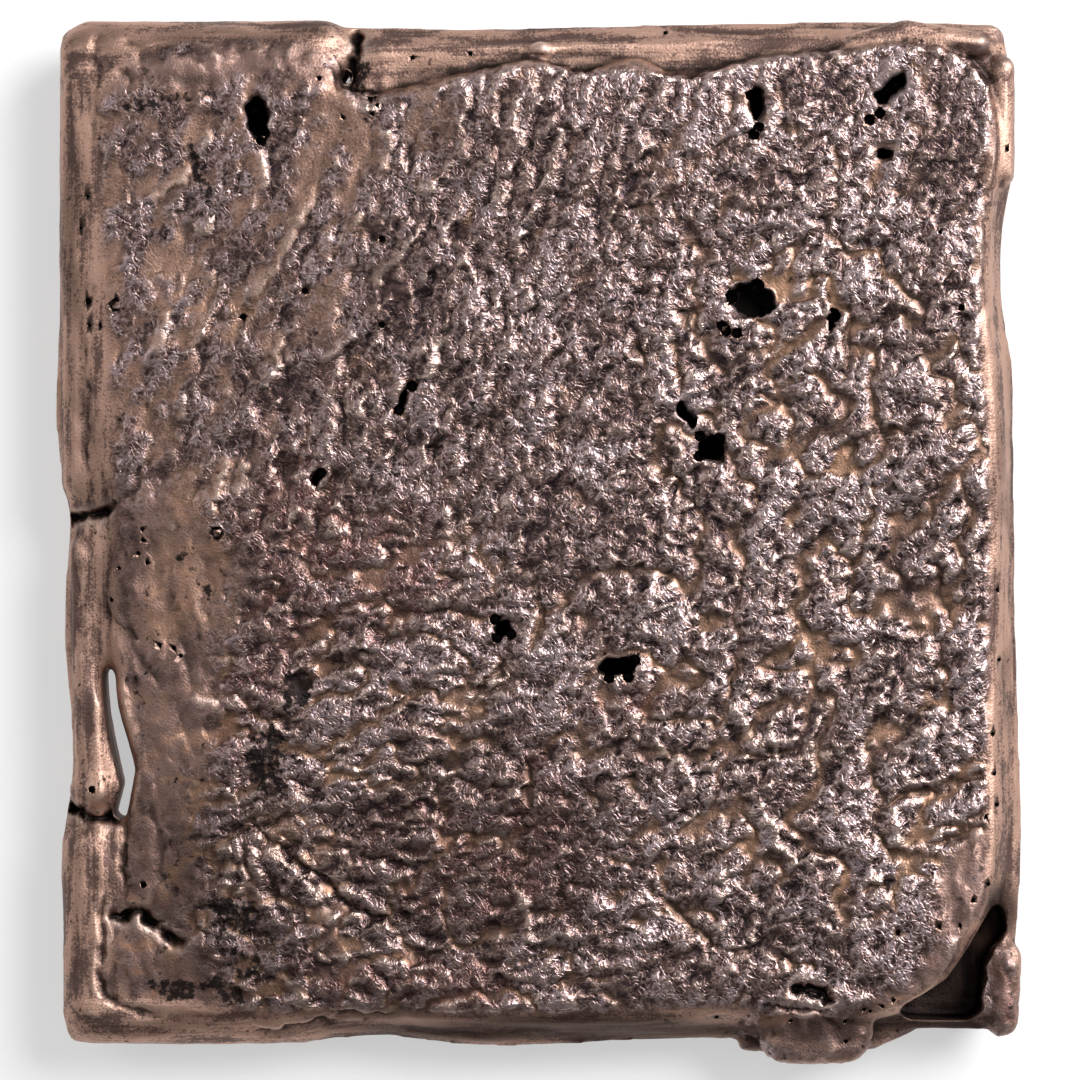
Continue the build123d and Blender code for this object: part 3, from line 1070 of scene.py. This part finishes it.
thread_long_way = (9.0 * mm, 0.3 * mm, 0.3 * mm)
side_way = s.stretched(spot, 90.0, thread_long_way)
far_way = s.stretched(spot, 0.0, thread_long_way)
far_share = s.ease(stored("by_far_edge"), 0.4, 0.6)
turned = s.vector("SCALE", s.vector("SUBTRACT", far_way, side_way), Scale=far_share)
fine_streak = s.times(s.noise(s.vector("ADD", side_way, turned), 1.0), rim_share)

# The crumpled ground's paler tone, partly painted highlight on the thread crests and proud lumps.
paleness_and_highlight = s.sum(all_threads, s.times(fleck, 0.4), 0.16, stored("pale_base"))
pale = tinted(stored("lumpy"), grey, pale_grey)
crumpled = tinted(s.ease(paleness_and_highlight, 0.55, 1.05), tinted(s.ease(paleness_and_highlight, 0.2, 0.6), oxide, warm), pale)
wear = s.sum(stored("wear_base"), s.times(fleck, 0.5), s.times(grain, 0.35), s.times(fine_streak, 0.4))
plain = tinted(rim_share, tinted(stored("smooth"), brown, dull_brown), rosy)
worn = tinted(s.ease(wear, -0.2, 0.1), dark_brown, plain)
colour = tinted(rough_share, worn, crumpled)
stored_shares = (
    ("copper_share", bare_copper),
    ("red_share", red),
    ("low_share", black),
    ("high_share", painted_highlight),
    ("shade_share", shade),
)
for name, tint in stored_shares:
    colour = tinted(stored(name), colour, tint)
# Soot, and the painted shadow beside the curled lip, laid on as black.
sooty_and_shaded = s.sum(stored("soot_base"), s.times(fleck, 2.6))
colour = tinted(s.times(s.ease(sooty_and_shaded, 0.35, 0.9), 0.95), colour, black)
# Painted shade: the ground round each pit is darkened.
colour = tinted(s.times(stored("near_pit"), 0.85), colour, shade)
# Painted shade: black in the pits, gouges, cavities, the unfilled corner and the walls of the cut holes.
colour = tinted(s.most(stored("deep_share"), s.rest(stored("skin"))), colour, black)
s.feed(skin.inputs["Base Color"], colour)

skin.inputs["Metallic"].default_value = 1.0
s.feed(skin.inputs["Roughness"], s.sum(stored("dullness"), s.times(s.rest(rough_share), 0.14)))
fine = s.sum(s.times(all_threads, stored("thread_gain")), s.times(grain, 0.4), s.times(fine_streak, 0.5))
bump_height = 0.095 * mm
bump = s.add("ShaderNodeBump", Strength=0.7, Distance=bump_height, Height=fine)
s.feed(skin.inputs["Normal"], bump)
ingot.data.materials.clear()
ingot.data.materials.append(copper)
print("material nodes:", len(copper.node_tree.nodes))

# %% [markdown]
# The slab lies on white paper under a wide window light from the right. The paper also shines a
# little by itself, for the camera and for what mirrors it, so that it stays white under the slab's
# soft shadow and shows white through the gap.

# %% Floor and light
white = (1.0, 1.0, 1.0, 1.0)
paper_white = (0.9, 0.9, 0.9, 1.0)
paper_dullness = 0.9
paper_size = 4.0
glow_share = 0.5
sky_strength = 0.25
scene = bpy.context.scene
scene.view_settings.view_transform = "Standard"
bpy.ops.object.select_all(action="DESELECT")
bpy.ops.mesh.primitive_plane_add(size=paper_size, location=(0.0, 0.0, 0.0))
floor = bpy.context.view_layer.objects.active
floor.name = "floor"
paper = bpy.data.materials.new("white_paper")
paper.use_nodes = True
p = Graph(paper.node_tree)
sheet = paper.node_tree.nodes["Principled BSDF"]
sheet.inputs["Base Color"].default_value = paper_white
sheet.inputs["Roughness"].default_value = paper_dullness
rays = p.add("ShaderNodeLightPath").node.outputs
seen = p.most(rays["Is Camera Ray"], rays["Is Glossy Ray"], rays["Is Transmission Ray"])
glow = p.add("ShaderNodeEmission", Color=white, Strength=1.0)
lit = p.add("ShaderNodeMixShader", p.times(seen, glow_share), sheet.outputs[0], glow)
p.feed(paper.node_tree.nodes["Material Output"].inputs["Surface"], lit)
floor.data.materials.append(paper)

world = bpy.data.worlds.new("studio")
world.use_nodes = True
sky = world.node_tree.nodes["Background"]
sky.inputs["Color"].default_value = white
sky.inputs["Strength"].default_value = sky_strength
scene.world = world


def soft_box(name, spot, size, power):
    """A rectangular lamp that looks at the slab's middle."""
    light = bpy.data.lights.new(name, "AREA")
    light.shape = "RECTANGLE"
    light.size, light.size_y = size
    light.energy = power
    lamp = bpy.data.objects.new(name, light)
    lamp.location = spot
    lamp.rotation_euler = (-Vector(spot)).to_track_quat("-Z", "Y").to_euler()
    scene.collection.objects.link(lamp)


soft_box("window", spot=(0.55, 0.40, 0.56), size=(0.5, 0.6), power=13.5)
soft_box("fill", spot=(-0.55, 0.25, 0.6), size=(0.4, 0.5), power=1.3)
print("lamps: window and fill")

# %% [markdown]
# The camera hangs where the picture was taken from, and its lens shows just as much of the slab.

# %% Camera
sensor_width = 36.0
camera_data = bpy.data.cameras.new("overhead")
camera_data.sensor_width = sensor_width
camera_data.lens = sensor_width * (camera_height - mould_line_height) / (picture_width_mm * mm)
camera = bpy.data.objects.new("overhead", camera_data)
camera.location = (0.0, 0.0, camera_height)
scene.collection.objects.link(camera)
scene.camera = camera
print("lens", round(camera_data.lens, 1), "mm")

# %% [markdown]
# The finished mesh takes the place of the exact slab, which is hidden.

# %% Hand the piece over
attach(ingot, "root")
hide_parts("ingot")
